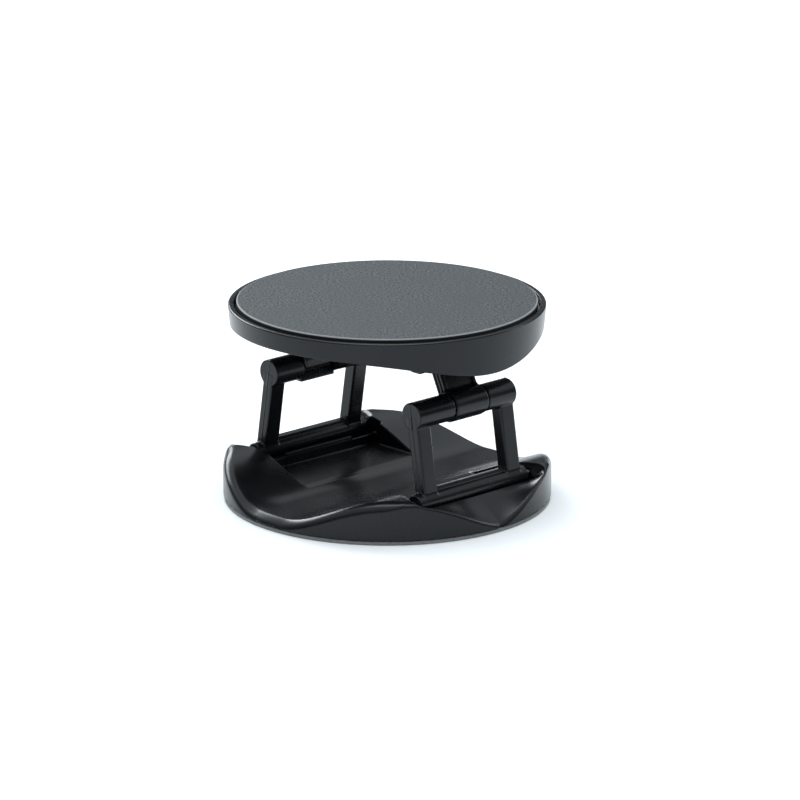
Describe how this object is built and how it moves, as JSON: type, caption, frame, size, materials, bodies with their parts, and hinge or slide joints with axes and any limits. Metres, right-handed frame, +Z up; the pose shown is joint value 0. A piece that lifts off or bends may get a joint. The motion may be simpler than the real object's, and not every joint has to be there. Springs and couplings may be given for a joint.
{
  "type": "phone stand",
  "caption": "Collapsible round phone stand: adhesive base and padded top disc joined by two folding hinged linkages.",
  "frame": {"origin": "centre of the underside of the adhesive pad", "axes": "+Z up; +X towards the right linkage, all hinge axes run along Y"},
  "size_m": [0.042, 0.042, 0.0261],
  "materials": {
    "black_plastic": "satin moulded black plastic",
    "grey_pad": "fine grained dark grey rubber",
    "adhesive": "soft grey foam adhesive",
    "pin_steel": "ground steel"
  },
  "bodies": {
    "base": {"base_adhesive_pad": "adhesive", "base_keeper_plate": "black_plastic", "base_shell": "black_plastic", "right_base_pin": "pin_steel", "left_base_pin": "pin_steel"},
    "right_frame": {"right_frame": "black_plastic"},
    "right_arm": {"right_arm": "black_plastic", "right_top_pin": "pin_steel"},
    "disc": {"disc_hinge_carrier": "black_plastic", "disc_shell": "black_plastic", "pad_tape": "adhesive", "top_pad": "grey_pad"},
    "left_frame": {"left_frame": "black_plastic"},
    "left_arm": {"left_arm": "black_plastic", "left_top_pin": "pin_steel"}
  },
  "joints": [
    {"name": "right_frame_fold", "type": "hinge", "parent": "base", "child": "right_frame", "pos_m": [0.0151, 0, 0.0042], "axis": [0, -1, 0], "range_deg": [0, 74.6]},
    {"name": "right_arm_fold", "type": "hinge", "parent": "right_frame", "child": "right_arm", "pos_m": [0.01335, 0, 0.01505], "axis": [0, 1, 0], "range_deg": [0, 191.92]},
    {"name": "disc_level", "type": "hinge", "parent": "right_arm", "child": "disc", "pos_m": [0.0106, 0, 0.02075], "axis": [0, -1, 0], "range_deg": [0, 117.32]},
    {"name": "left_frame_fold", "type": "hinge", "parent": "base", "child": "left_frame", "pos_m": [-0.0151, 0, 0.0042], "axis": [0, 1, 0], "range_deg": [0, 74.7]},
    {"name": "left_arm_fold", "type": "hinge", "parent": "left_frame", "child": "left_arm", "pos_m": [-0.01335, 0, 0.01505], "axis": [0, -1, 0], "range_deg": [0, 191.92]}
  ],
  "couplings": [
    {"joint": "right_arm_fold", "follows": "right_frame_fold", "ratio": 2.57},
    {"joint": "disc_level", "follows": "right_frame_fold", "ratio": 1.57},
    {"joint": "left_frame_fold", "follows": "right_frame_fold", "ratio": 1},
    {"joint": "left_arm_fold", "follows": "right_frame_fold", "ratio": 2.57}
  ]
}
